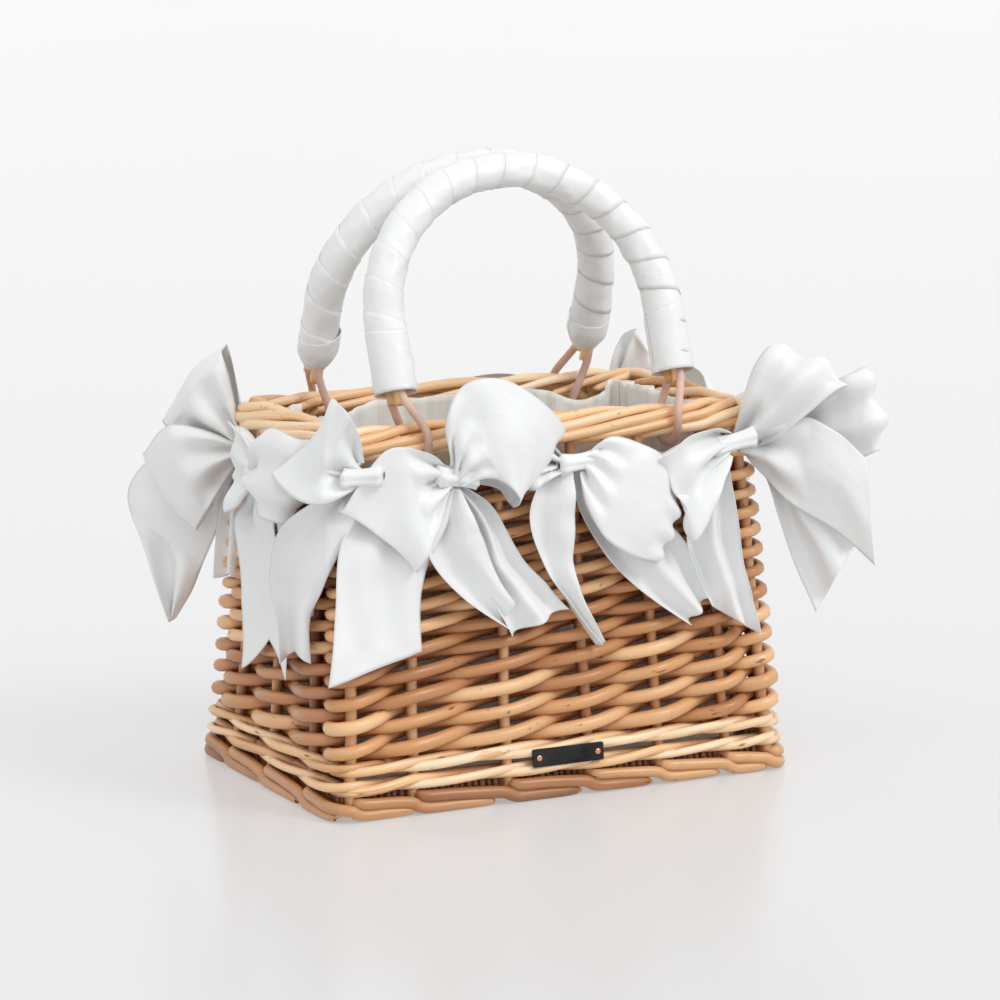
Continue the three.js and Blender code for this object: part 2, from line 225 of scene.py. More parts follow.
def cotton_finish():
    """Cream linen and cotton cloth: plain weave, slubs along both threads, a little crumple."""
    finish = Finish("cotton_cloth", 0.95, Sheen_Weight=0.15)
    across, along = finish.map_axes("cloth_map")
    warp = (across * 7400.0).math("SINE")
    weft = (along * 7400.0).math("SINE")
    weave = warp * weft
    slub_one = finish.cloud(finish.vector(across * 1500.0, along * 40.0, 0.0), 1.0, 2.0)
    slub_two = finish.cloud(finish.vector(across * 40.0, along * 1500.0, 5.0), 1.0, 2.0)
    crumple = finish.cloud(finish.vector(across * 45.0, along * 45.0, 9.0), 1.0, 4.0)
    threads = slub_one * 0.5 + slub_two * 0.5
    colour = finish.ramp(threads, [(0.3, shade(240, 236, 228)), (0.7, shade(250, 248, 244))])
    finish.wear("Base Color", colour)
    finish.bump(weave * 0.05 + threads * 0.25 + crumple * 2.2, 0.6 * MM, 0.6)
    return finish.material


def leather_finish():
    """Dusty pink leather cord: fine pores and slightly darker, smoother worn places."""
    finish = Finish("blush_cord", 0.5)
    grain = finish.cloud(finish.place(), 1600.0, 4.0)
    wear = finish.cloud(finish.place(), 60.0, 2.0)
    colour = finish.ramp(wear, [(0.3, shade(196, 158, 142)), (0.7, shade(222, 188, 172))])
    finish.wear("Base Color", colour)
    finish.wear("Roughness", wear * 0.25 + 0.38)
    finish.bump(grain, 0.12 * MM, 0.7)
    return finish.material


def plate_finish():
    """Blackened metal, brushed along its length, with faint rubbed scratches."""
    finish = Finish("black_metal", 0.3, Metallic=0.75)
    inputs = {"Vector": finish.place(), "Scale": (60, 4000, 4000)}
    stretch = finish.node("ShaderNodeMapping", {}, inputs)
    brush = finish.cloud(stretch, 1.0, 3.0)
    rub = finish.cloud(finish.place(), 120.0, 4.0)
    stops = [(0.35, (0.010, 0.011, 0.012)), (0.8, (0.06, 0.06, 0.06))]
    colour = finish.ramp(brush * 0.5 + rub * 0.5, stops)
    finish.wear("Base Color", colour)
    finish.wear("Roughness", brush * 0.2 + 0.2)
    finish.bump(brush, 0.03 * MM, 0.6)
    return finish.material


def copper_finish():
    """Warm copper rivet heads, a little dulled."""
    finish = Finish("copper_head", 0.25, Metallic=1.0)
    dull = finish.cloud(finish.place(), 700.0, 3.0)
    colour = finish.ramp(dull, [(0.3, shade(196, 130, 96)), (0.7, shade(238, 186, 152))])
    finish.wear("Base Color", colour)
    finish.wear("Roughness", dull * 0.3 + 0.14)
    return finish.material


honey_tones = shade(208, 158, 108), shade(236, 199, 154), shade(170, 114, 72)
# painted shade: the foot tones are a darker copy of the honey willow, darkened to offset the
# floor's bounce light on the foot and base edge rods
foot_shade_tones = shade(184, 134, 90), shade(216, 172, 124), shade(140, 90, 56)
pale_tones = shade(234, 194, 148), shade(246, 224, 194), shade(206, 154, 106)
cane_tones = shade(226, 186, 134), shade(243, 214, 170), shade(190, 140, 92)
honey = willow_finish("honey_willow_rods", *honey_tones)
# painted shade: the foot and base edge rods wear this darkened copy of the willow
shaded_foot_willow = willow_finish("foot_willow_rods", *foot_shade_tones)
pale = willow_finish("pale_willow_rods", *pale_tones)
cane = willow_finish("cane_prongs", *cane_tones)
sawn = cut_finish()
satin = satin_finish("white_satin_bows", shade(234, 235, 235), 0.40)
wrap_satin = satin_finish("white_satin_wrap", shade(230, 231, 231), 0.34)
cotton = cotton_finish()
leather = leather_finish()
black_metal = plate_finish()
copper = copper_finish()


# ---------------------------------------------------------------- the walls, from the frame
class Walls:
    """The leaning walls: half sizes at a height, and points on the line of the stakes."""

    wale_bevel = 2 * MM
    thickness = 15 * MM
    shaded_below = 185 * MM
    shade_fades_in = 12 * MM
    shade_depth = 11 * MM

    def __init__(self):
        low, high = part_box("side_weave"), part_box("upper_wale")
        self.z_low, self.z_high = low[0][2], high[0][2] + self.wale_bevel
        self.low = Vector((low[1][0], low[1][1]))
        self.high = Vector((high[1][0], high[1][1]))
        self.mid_z = (self.z_low + self.z_high) / 2
        half = self.line_half(self.mid_z)
        self.side_lengths = [2 * half.x, 2 * half.y, 2 * half.x, 2 * half.y]
        self.around = sum(self.side_lengths)

    def half(self, z):
        return self.low.lerp(self.high, (z - self.z_low) / (self.z_high - self.z_low))

    def line_half(self, z, inset=None):
        inset = self.thickness / 2 if inset is None else inset
        return self.half(z) - Vector((inset, inset))

    def distance(self, side, share):
        """How far round, from the front left corner, for a share (-1 to 1) of one side."""
        return sum(self.side_lengths[:side]) + (share + 1) / 2 * self.side_lengths[side]

    def point(self, distance, z, out=0.0, corner=9 * MM, inset=None):
        """A point at this distance round the walls, this far out of the stakes' own line."""
        distance %= self.around
        side = 0
        while distance > self.side_lengths[side]:
            distance -= self.side_lengths[side]
            side = (side + 1) % 4
        share = 2 * distance / self.side_lengths[side] - 1
        half = self.line_half(z, inset)
        raw = [
            Vector((share * half.x, -half.y)), Vector((half.x, share * half.y)),
            Vector((-share * half.x, half.y)), Vector((-half.x, -share * half.y)),
        ][side]
        inner = Vector((
            max(corner - half.x, min(half.x - corner, raw.x)),
            max(corner - half.y, min(half.y - corner, raw.y)),
        ))
        flat = inner + (raw - inner).normalized() * (corner + out)
        return Vector((flat.x, flat.y, z))

    def depth(self, place):
        """0 on the weave's outer face and above the walls, 1 well inside the wall: how much painted
        shade the willow gets.
        """
        half = self.half(place.z)
        sunk = min(half.x - abs(place.x), half.y - abs(place.y)) + 1 * MM
        under = min(1.0, max(0.0, (self.shaded_below - place.z) / self.shade_fades_in))
        return max(0.0, min(1.0, sunk / self.shade_depth)) * under


walls = Walls()
SIDES = ["front", "right", "back", "left"]


def find_stakes():
    """Each stake's distance round the walls, in order, with its node's name."""
    found = []
    for name in frame["nodes"]:
        if not name.startswith("stake_"):
            continue
        side = SIDES.index(name.split("_")[1])
        low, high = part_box(name)
        middle = [(low[i] + high[i]) / 2 for i in range(3)]
        half = walls.line_half(middle[2])
        share = [middle[0] / half.x, middle[1] / half.y, -middle[0] / half.x, -middle[1] / half.y]
        found.append((walls.distance(side, share[side]), name))
    return sorted(found)


stakes = find_stakes()
COUNT = len(stakes)


def stake_distance(index):
    """The distance of a stake by index, fractions between stakes, going on round and round."""
    turns, whole = divmod(math.floor(index), COUNT)
    here = stakes[whole][0]
    ahead = stakes[(whole + 1) % COUNT][0] + (walls.around if whole + 1 == COUNT else 0)
    return here + (index - math.floor(index)) * (ahead - here) + turns * walls.around


# ---------------------------------------------------------------- making and settling pieces
def link_mesh(name, points, faces, materials):
    mesh = bpy.data.meshes.new(name)
    mesh.from_pydata([tuple(p) for p in points], [], faces)
    for material in materials:
        mesh.materials.append(material)
    piece = bpy.data.objects.new(name, mesh)
    bpy.context.scene.collection.objects.link(piece)
    return piece


def lay_map(mesh, name, corners):
    """Gives a mesh its own map, from one pair of numbers for each face corner."""
    layer = mesh.uv_layers.new(name=name)
    layer.data.foreach_set("uv", [number for corner in corners for number in corner])


def finish_with(piece, kind, **settings):
    """Adds a modifier and applies it."""
    bpy.ops.object.select_all(action="DESELECT")
    bpy.context.view_layer.objects.active = piece
    piece.select_set(True)
    modifier = piece.modifiers.new(kind.lower(), kind)
    for name, value in settings.items():
        setattr(modifier, name, value)
    bpy.ops.object.modifier_apply(modifier=modifier.name)
    piece.select_set(False)


def smooth_all(piece, smooth=True):
    piece.data.polygons.foreach_set("use_smooth", [smooth] * len(piece.data.polygons))


def cloth_piece(name, points, faces, corners, material):
    """A mapped, smooth sheet with no thickness yet."""
    piece = link_mesh(name, points, faces, [material])
    lay_map(piece.data, "cloth_map", corners)
    smooth_all(piece)
    return piece


def thicken(piece, thickness):
    finish_with(piece, "SOLIDIFY", thickness=thickness, offset=0.0)


def settle(piece, nodes, body=BASKET):
    """Stands a piece in for its frame nodes, hiding them, and hangs it on a body."""
    if nodes:
        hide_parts(*nodes)
    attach(piece, body)


def smooth_path(knots, per_gap):
    """Points along a smooth curve through knots of numbers."""
    last = len(knots) - 1
    return [knot_at(knots, n / per_gap) for n in range(last * per_gap + 1)]


def knot_at(knots, t):
    """The row of numbers at t on a smooth curve through knots, one knot for each whole t."""
    last = len(knots) - 1
    i = min(int(t), last - 1)
    u = t - i
    before, here = knots[max(i - 1, 0)], knots[i]
    ahead, after = knots[i + 1], knots[min(i + 2, last)]
    return [
        0.5 * (2 * q + (r - p) * u + (2 * p - 5 * q + 4 * r - s) * u * u
               + (3 * q - p - 3 * r + s) * u ** 3)
        for p, q, r, s in zip(before, here, ahead, after)
    ]


def wander(seed, at, size):
    """A smooth drift, the same for the same seed."""
    return size * noise.noise(Vector((at * 1.7, seed * 7.31, 0.5)))


# ---------------------------------------------------------------- rods
class RodMesh:
    """Gathers tapered round rods into one mesh, with a tone for each and a map along them."""

    def __init__(self, sides=8):
        self.sides = sides
        self.points, self.faces, self.maps, self.tones, self.sawn = [], [], [], [], []

    def add(self, path, radii, tone, slant=0.0):
        """path is the rod's middle line, radii its radius at each point, slant its end cut."""
        first, sides = len(self.points), self.sides
        normal, travelled, run = None, 0.0, []
        for i, place in enumerate(path):
            ahead = path[min(i + 1, len(path) - 1)] - path[max(i - 1, 0)]
            ahead.normalize()
            if normal is None:
                normal = ahead.orthogonal().normalized()
            normal = (normal - ahead * normal.dot(ahead)).normalized()
            across = ahead.cross(normal)
            if i:
                travelled += (place - path[i - 1]).length
            run.append(travelled)
            skew = slant * radii[i] if i == len(path) - 1 else 0.0
            for k in range(sides):
                angle = 2 * math.pi * k / sides
                spoke = normal * math.cos(angle) + across * math.sin(angle)
                lifted = ahead * skew * math.sin(angle)
                self.points.append(place + spoke * radii[i] + lifted)
                self.tones.append(tone)
        for i in range(len(path) - 1):
            row = first + i * sides
            for k in range(sides):
                after = (k + 1) % sides
                self.faces.append((row + k, row + after, row + sides + after, row + sides + k))
                left, right = k / sides, (k + 1) / sides
                self.maps += [(left, run[i]), (right, run[i])]
                self.maps += [(right, run[i + 1]), (left, run[i + 1])]
        last = first + (len(path) - 1) * sides
        for cap in (tuple(first + k for k in reversed(range(sides))),
                    tuple(last + k for k in range(sides))):
            self.sawn.append(len(self.faces))
            self.faces.append(cap)
            self.maps += [(0.0, 0.0)] * sides

    def build(self, name, material):
        piece = link_mesh(name, self.points, self.faces, [material, sawn])
        mesh = piece.data
        lay_map(mesh, "rod_map", self.maps)
        # depth: how much painted shade each point gets in the willow's colour
        numbers = {"tone": self.tones, "depth": [walls.depth(p) for p in self.points]}
        for label, values in numbers.items():
            mesh.attributes.new(label, "FLOAT", "POINT").data.foreach_set("value", values)
        smooth_all(piece)
        for index in self.sawn:
            mesh.polygons[index].use_smooth = False
            mesh.polygons[index].material_index = 1
        return piece


# ---------------------------------------------------------------- willow work
def side_weave():
    """French randing: every rod starts behind its own stake and climbs a row at each stake."""
    random.seed(11)
    low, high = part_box("side_weave")[0][2] - 2.5 * MM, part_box("side_weave")[1][2] + 1.0 * MM
    rows, per_gap = 25, 10
    first, rise = low + 0.2 * MM, high - low - 3.0 * MM
    mesh = RodMesh(sides=9)
    begin, end = -0.32, rows - 1 + 0.7
    steps = round((end - begin) * per_gap)
    for start in range(COUNT):
        seed = random.random() * 100
        butt, tip = random.uniform(3.5, 4.1) * MM, random.uniform(2.3, 2.75) * MM
        lift, path, radii = random.uniform(-0.3, 0.3) * MM, [], []
        for n in range(steps + 1):
            turn = begin + (end - begin) * n / steps
            share = max(turn, 0.0) / (rows - 1)
            thick = butt + (tip - butt) * share
            beat = math.cos(math.pi * turn)
            swing = (2.3 * MM + thick) * beat
            out = -swing * 0.93 + wander(seed, turn, 0.35 * MM)
            z = first + rise * (1.12 * share - 0.12 * share * share)
            z += lift + wander(seed + 9, turn, 0.75 * MM)
            path.append(walls.point(stake_distance(start + turn), z, out, CORNER))
            radii.append(thick + wander(seed, turn * 2, 0.15 * MM))
        mesh.add(path, radii, random.random(), 0.6)
    settle(mesh.build("side_weave_rods", honey), ["side_weave"])


def wale(name, node, rounds, radius, seed, drop):
    """Waling: three rods twist round the stakes, each in front of two and behind one."""
    random.seed(seed)
    low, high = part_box(node)[0][2] + 0.6 * MM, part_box(node)[1][2] - drop
    depth = (high - low) / rounds
    mesh = RodMesh(sides=8)
    strands, per_gap, reach = 3, 7, 9
    for level in range(rounds):
        for strand in range(strands):
            start = -random.randint(0, 2) * strands
            while start < COUNT - 1:
                seed = random.random() * 100
                thick = radius * random.uniform(0.92, 1.1)
                path, radii = [], []
                steps = reach * per_gap
                for n in range(steps + 1):
                    turn = start + strand + n / per_gap - 0.45
                    beat = ((turn - strand) % strands) / strands
                    side = math.cos(2 * math.pi * beat)
                    out = 1.4 * MM - 4.6 * MM * side * abs(side) ** 0.2
                    climb = (beat - 0.5) * 0.5 * (1 - side)
                    z = low + depth * (level + 0.5) + climb * (depth + 0.6 * thick)
                    z += wander(seed, turn, 0.8 * MM)
                    out += wander(seed + 5, turn, 0.4 * MM)
                    path.append(walls.point(stake_distance(turn), z, out, CORNER))
                    radii.append(thick * (1.1 - 0.25 * n / steps))
                mesh.add(path, radii, random.random(), 0.9)
                start += reach
    settle(mesh.build(name, pale), [node])


def upright_stakes():
    """The stakes stand in the walls from the foot to the rim, each a little bent."""
    random.seed(5)
    for distance, node in stakes:
        mesh = RodMesh(sides=10)
        low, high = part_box(node)[0][2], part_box(node)[1][2]
        seed, thick = random.random() * 100, random.uniform(2.7, 3.1) * MM
        steps = 24
        path, radii = [], []
        for n in range(steps + 1):
            z = low + (high - low) * n / steps
            along = distance + wander(seed, n / 4, 1.0 * MM)
            path.append(walls.point(along, z, wander(seed + 3, n / 4, 0.3 * MM), CORNER))
            radii.append(thick * (1.08 - 0.18 * n / steps))
        mesh.add(path, radii, random.random())
        settle(mesh.build(node + "_rod", honey), [node])


def rim_border():
    """Each stake is laid down to the right: outside two others, over the top and in again."""
    random.seed(21)
    low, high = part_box("rim_border")[0][2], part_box("rim_border")[1][2]
    mesh = RodMesh(sides=9)
    knots = [
        (0.0, -1.0, -9.0, 2.6), (0.06, 0.0, 0.0, 2.7), (0.25, 3.6, 2.9, 2.9),
        (0.7, 5.8, 4.0, 3.0), (1.3, 6.1, 6.2, 3.0), (2.0, 5.6, 9.6, 2.9),
        (2.7, 3.1, 13.0, 2.8), (3.3, -1.0, 14.3, 2.6), (3.9, -4.6, 12.4, 2.4),
        (4.5, -5.8, 8.8, 2.2), (4.9, -5.9, 6.4, 1.9),
    ]
    for start in range(COUNT):
        seed, lean = random.random() * 100, random.uniform(-0.12, 0.12)
        path, radii = [], []
        for turn, out, up, thick in smooth_path(knots, 7):
            place = turn * (1 + lean * 0.3) + start
            z = low + up * MM + wander(seed, turn, 1.0 * MM)
            z = min(z, high - thick * MM + 0.5 * MM)
            side = out * MM + wander(seed + 4, turn, 0.8 * MM)
            path.append(walls.point(stake_distance(place), z, side, CORNER, RIM_INSET))
            radii.append(thick * MM * (1 + lean * 0.5))
        mesh.add(path, radii, random.random(), 1.2)
    settle(mesh.build("rim_border_rods", pale), ["rim_border"])


def foot_border():
    """Each rod comes down at its stake, turns along the floor past two more and is cut off."""
    random.seed(31)
    mesh = RodMesh(sides=10)
    knots = [
        (-0.14, -7.5, 15.0, 2.5), (-0.06, -3.0, 12.0, 2.8), (0.03, 2.4, 9.6, 3.1),
        (0.1, 5.2, 8.9, 3.2), (0.45, 5.6, 8.3, 3.2), (0.88, 5.8, 6.8, 3.1),
        (1.02, 5.9, 4.2, 3.1), (1.16, 5.9, 3.2, 3.0), (1.5, 5.8, 3.0, 2.8),
        (1.74, 5.6, 2.8, 2.4), (1.86, 5.4, 2.6, 1.8),
    ]
    for start in range(COUNT):
        seed = random.random() * 100
        slack, grow = random.uniform(-0.1, 0.12), random.uniform(0.96, 1.12)
        path, radii = [], []
        for turn, out, up, thick in smooth_path(knots, 7):
            place = start + turn + (slack * (turn - 1) if turn > 1 else 0)
            z = max(up * MM + wander(seed, turn, 0.5 * MM), thick * grow * MM)
            side = out * MM + wander(seed + 2, turn, 0.4 * MM)
            path.append(walls.point(stake_distance(place), z, side, FOOT_CORNER, FOOT_INSET))
            radii.append(thick * grow * MM)
        mesh.add(path, radii, random.random(), random.uniform(1.2, 2.2))
    settle(mesh.build("foot_border_rods", shaded_foot_willow), ["foot_border"])


def base_weave():
    """Thin rods woven across the lengthwise sticks, turned round the edge under the wale."""
    random.seed(41)
    low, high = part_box("base_weave")
    sticks = [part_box(f"base_stick_{i + 1}") for i in range(5)]
    lines = [(box[0][1] + box[1][1]) / 2 for box in sticks]
    middle = (low[2] + high[2]) / 2
    mesh = RodMesh(sides=6)
    radius, step = 1.9 * MM, 4.1 * MM
    count = int((high[0] - low[0]) / step)
    gap = lines[1] - lines[0]
    for i in range(count):
        x = low[0] + (i + 0.5) * (high[0] - low[0]) / count
        path, seed = [], random.random() * 100
        for n in range(len(lines) * 4 + 1):
            y = lines[0] - gap / 2 + gap * n / 4
            y = max(low[1] + radius, min(high[1] - radius, y))
            phase = math.pi * (n / 4 - 0.5) + math.pi * (i % 2)
            z = middle + 2.1 * MM * math.cos(phase)
            path.append(Vector((x + wander(seed, n / 3, 0.6 * MM), y, z)))
        mesh.add(path, [radius] * len(path), random.random())
    settle(mesh.build("base_weave_rods", honey), ["base_weave"])
    for i, (box_low, box_high) in enumerate(sticks):
        stick = RodMesh(sides=8)
        y, z = lines[i], (box_low[2] + box_high[2]) / 2
        run = box_high[0] - box_low[0]
        path = [Vector((box_low[0] + run * n / 12, y, z)) for n in range(13)]
        stick.add(path, [1.9 * MM] * 13, random.random())
        name = f"base_stick_{i + 1}"
        settle(stick.build(name + "_rod", honey), [name])


def base_edge():
    """Short upright turns of thin rod, seen between the foot and the wale."""
    random.seed(43)
    mesh = RodMesh(sides=6)
    pitch = 3.7 * MM
    count = round(walls.around / pitch)
    for i in range(count):
        distance = walls.around * i / count
        tall, radius = random.uniform(14.5, 16.0) * MM, random.uniform(1.35, 1.75) * MM
        out = random.uniform(-1.4, -0.4) * MM
        profile = [(3.5, -3.0), (5.0, -0.6), (9.0, 0.0), (12.5, -0.2), (tall / MM, -2.5)]
        path = [
            walls.point(distance, z * MM, out + sag * MM, FOOT_CORNER, FOOT_INSET)
            for z, sag in profile
        ]
        mesh.add(path, [radius] * len(path), random.random())
    settle(mesh.build("base_edge_rods", shaded_foot_willow), [])


# ---------------------------------------------------------------- places for the bows
def wall_place(side, middle):
    """Turns (along, height, out) in mm, seen from outside a wall, into a place."""
    def place(a, z, o):
        half = walls.half(z * MM)
        along, out = (middle + a) * MM, o * MM
        spots = [
            (along, -half.y - out), (half.x + out, along),
            (-along, half.y + out), (-half.x - out, -along),
        ]
        return Vector((*spots[side], z * MM))
    return place


KNOT_Z = 176.0
CORNER_TUCK = 6 * MM


def corner_place(sign_x, sign_y, radial, mirror=1):
    """Turns mm at a corner into a place. A radial bow stands out from the corner like a fin:
    (out, height, aside). The other kind lies across it: (along, height, out)."""
    half = walls.half(KNOT_Z * MM)
    post = Vector((sign_x * (half.x - CORNER_TUCK), sign_y * (half.y - CORNER_TUCK), 0))
    outward = Vector((sign_x, sign_y, 0)).normalized()
    along = Vector((-sign_y, sign_x, 0)).normalized() * mirror
    if not radial:
        return lambda a, z, o: post + along * a * MM + outward * o * MM + Vector((0, 0, z * MM))
    return lambda a, z, o: post + outward * a * MM + along * o * MM + Vector((0, 0, z * MM))


# ---------------------------------------------------------------- satin ribbon
RIBBON = 50.0
RIBBON_THICKNESS = 0.45 * MM


class Ribbons:
    """Gathers lengths of ribbon, each drawn by its two edges, into one bow."""

    across = 26

    def __init__(self, place, seed):
        self.place, self.seed = place, seed
        self.points, self.faces, self.maps = [], [], []

    def lay(self, edges, steps=54, pleats=5, crown=3.0, deep=5.0, cut=None):
        """edges: rows of (a, z, o) for one edge and (a, z, o) for the other, in mm.
        pleats: half waves across where it is gathered. crown: how far its middle stands up.
        cut: how far each column stops short of the end, from its share across."""
        first, count, middle = len(self.points), self.across + 1, self.across // 2
        self.seed += 1
        lengths, before = [], None
        for n in range(steps + 1):
            row = []
            for k in range(count):
                s = k / self.across
                short = cut(s) if cut else 0.0
                t = (len(edges) - 1) * (1 - short * (n / steps) ** 0.7) * n / steps
                row.append(self.surface(edges, t, s, pleats, crown, deep))
            gone = lengths[-1] + (row[middle] - before[middle]).length if before else 0.0
            lengths.append(gone)
            self.points += row
            before = row
        for n in range(steps):
            for k in range(self.across):
                corner = first + n * count + k
                self.faces.append((corner, corner + 1, corner + count + 1, corner + count))
                left, right = (RIBBON * MM * j / self.across for j in (k, k + 1))
                self.maps += [(left, lengths[n]), (right, lengths[n])]
                self.maps += [(right, lengths[n + 1]), (left, lengths[n + 1])]

    def surface(self, edges, t, s, pleats, crown, deep):
        at = knot_at(edges, t)
        one, two = Vector(at[:3]), Vector(at[3:6])
        ahead = knot_at(edges, min(t + 0.05, len(edges) - 1))
        back = knot_at(edges, max(t - 0.05, 0))
        step = [after - before for before, after in zip(back, ahead)]
        along = Vector(step[:3]) * (1 - s) + Vector(step[3:6]) * s
        chord = two - one
        up = chord.cross(along)
        up = up.normalized() if up.length > 1e-6 else Vector((0, 0, 1))
        spare = math.sqrt(max(0.0, RIBBON ** 2 - chord.length ** 2))
        fold = min(deep, 0.45 * spare / pleats)
        drift = 0.5 * noise.noise(Vector((t * 0.8, self.seed * 3.7, 1.0)))
        wave = math.sin(math.pi * pleats * (s + 0.12 * drift * math.sin(math.pi * s)))
        soft = noise.noise(Vector((s * 2.2, t * 1.3, self.seed * 5.1)))
        rim = math.sin(math.pi * s)
        lift = fold * wave + crown * rim + 2.4 * soft * min(1.0, t)
        middle = one.lerp(two, s) + up * lift
        return self.place(*middle)

    def knot(self, a, z, o, half=10.0, thick=5.0, tilt=0.0):
        """The gathered band between the loops: a short pleated roll lying along the wall."""
        first, rings, sides = len(self.points), 12, 28
        self.seed += 1
        for i in range(rings + 1):
            share = 2 * i / rings - 1
            size = thick * (0.84 + 0.34 * share * share)
            if i in (0, rings):
                size *= 0.35
            for k in range(sides):
                angle = 2 * math.pi * k / sides
                ripple = 1 + 0.10 * math.sin(6 * angle + self.seed + share * 1.2)
                radius = size * ripple
                spot = (a + half * share, z + tilt * share + radius * math.sin(angle),
                        o + radius * 0.9 * math.cos(angle))
                self.points.append(self.place(*spot))
        for i in range(rings):
            for k in range(sides):
                here, after = first + i * sides + k, first + i * sides + (k + 1) % sides
                self.faces.append((here, after, after + sides, here + sides))
                left, right = 0.05 * k / sides, 0.05 * (k + 1) / sides
                low, high = 0.02 * i / rings, 0.02 * (i + 1) / rings
                self.maps += [(left, low), (right, low), (right, high), (left, high)]

    def build(self, name, nodes):
        piece = cloth_piece(name, self.points, self.faces, self.maps, satin)
        thicken(piece, RIBBON_THICKNESS)
        settle(piece, nodes)


def swallow(depth, lean=0.0):
    """A notch cut into a tail's end."""
    return lambda s: depth * (1 - abs(2 * s - 1)) + lean * s


def slant(depth):
    """A tail's end cut at an angle."""
    return lambda s: depth * s


# ---------------------------------------------------------------- the bows
# Every length of ribbon below is drawn by its two edges, from the knot outwards. Each row is a
# point of one edge, then the point of the other across from it, in mm on the bow's own wall:
# along, height, out.
FRONT, RIGHT, BACK, LEFT = range(4)
BOW_LINE = 178


def left_bow(name, side, seed):
    """A draped loop to the left, one over the rim to the right, and three tails."""
    bow = Ribbons(wall_place(side, 0.0), seed)
    stand = 1.0 if side == FRONT else 0.35
    further_tail = [
        (-64, 168, 9, -58, 168, 9), (-58, 150, 8, -40, 155, 8), (-52, 128, 7, -26, 130, 7),
        (-42, 108, 7, -12, 114, 7), (-32, 88, 8, 1, 99, 7),
    ]
    left_tail = [
        (-72, 172, 8, -62, 168, 8), (-100, 166, 9, -66, 150, 9), (-124, 146, 9, -80, 126, 9),
        (-130, 110, 8, -83, 106, 8), (-136, 72, 7, -83, 72, 7),
    ]
    right_tail = [
        (-70, 170, 13, -60, 166, 14), (-77, 150, 15, -54, 150, 17), (-80, 134, 15, -48, 138, 14),
        (-62, 112, 14, -40, 120, 11), (-34, 92, 12, -32, 106, 10),
    ]
    upper_loop = [
        (-62, 178, 14, -60, 168, 14), (-69, 200, 18, -48, 172, 20), (-58, 220, 20, -41, 170, 25),
        (-36, 221, 23, -35, 164, 26), (-14, 207, 21, -32, 158, 22), (1, 193, 14, -30, 154, 14),
        (0, 192, 7, -30, 156, 7), (-20, 200, 6, -36, 164, 5), (-56, 178, 6, -56, 168, 6),
    ]
    left_loop = [
        (-66, 177, 14, -66, 166, 14), (-80, 187, 19, -74, 152, 19), (-104, 190, 21, -82, 138, 21),
        (-125, 163, 15, -87, 127, 15), (-123, 165, 8, -86, 129, 8), (-100, 180, 6, -80, 142, 7),
        (-70, 176, 6, -68, 166, 6),
    ]
    upper_loop = [
        (a, BOW_LINE + (z - BOW_LINE) * stand, o, *other) for a, z, o, *other in upper_loop
    ]
    bow.lay(further_tail, pleats=3, crown=2)
    bow.lay(left_tail, pleats=4, crown=2.5, cut=slant(0.11))
    bow.lay(right_tail, pleats=2, crown=6, deep=4)
    bow.lay(upper_loop, steps=84, pleats=7, crown=2.5, deep=4)
    bow.lay(left_loop, steps=72, pleats=5, crown=3.5)
    bow.knot(-62, 173, 14, half=12, thick=5.2, tilt=-1.5)
    bow.build(name + "_ribbon", [name])


def middle_bow(name, side, seed):
    """A loop hanging down to the right, a small one behind, a curled tail and a broad one."""
    bow = Ribbons(wall_place(side, 0.0), seed)
    small_loop = [
        (0, 178, 12, -2, 170, 12), (-10, 188, 13, -10, 166, 11), (-20, 190, 12, -16, 162, 10),
        (-22, 188, 7, -18, 162, 6), (-4, 178, 6, -4, 170, 6),
    ]
    curled_tail = [
        (-5, 174, 14, 4, 170, 14), (-16, 164, 13, 4, 160, 15), (-21, 148, 12, 4, 146, 14),
        (-14, 124, 11, 4, 124, 10), (1, 103, 9, 9, 104, 8), (20, 79, 8, 22, 80, 7),
    ]
    broad_tail = [
        (6, 170, 9, 16, 170, 9), (10, 150, 8, 34, 160, 8), (22, 127, 8, 58, 142, 8),
        (42, 106, 8, 76, 120, 8), (72, 84, 8, 84, 97, 8),
    ]
    hanging_loop = [
        (16, 180, 13, 10, 168, 13), (26, 187, 17, 8, 156, 17), (40, 183, 21, 16, 138, 21),
        (54, 175, 20, 32, 126, 20), (66, 160, 14, 50, 120, 14), (62, 162, 8, 48, 124, 8),
        (36, 176, 6, 22, 150, 6), (18, 176, 6, 12, 168, 6),
    ]
    bow.lay(small_loop, pleats=4, crown=3)
    bow.lay(broad_tail, pleats=3, crown=2.5)
    bow.lay(curled_tail, pleats=2, crown=5, deep=3)
    bow.lay(hanging_loop, steps=80, pleats=7, crown=2.5, deep=4)
    bow.knot(8, 175, 14, half=12, thick=4.8, tilt=1.0)
    bow.build(name + "_ribbon", [name])


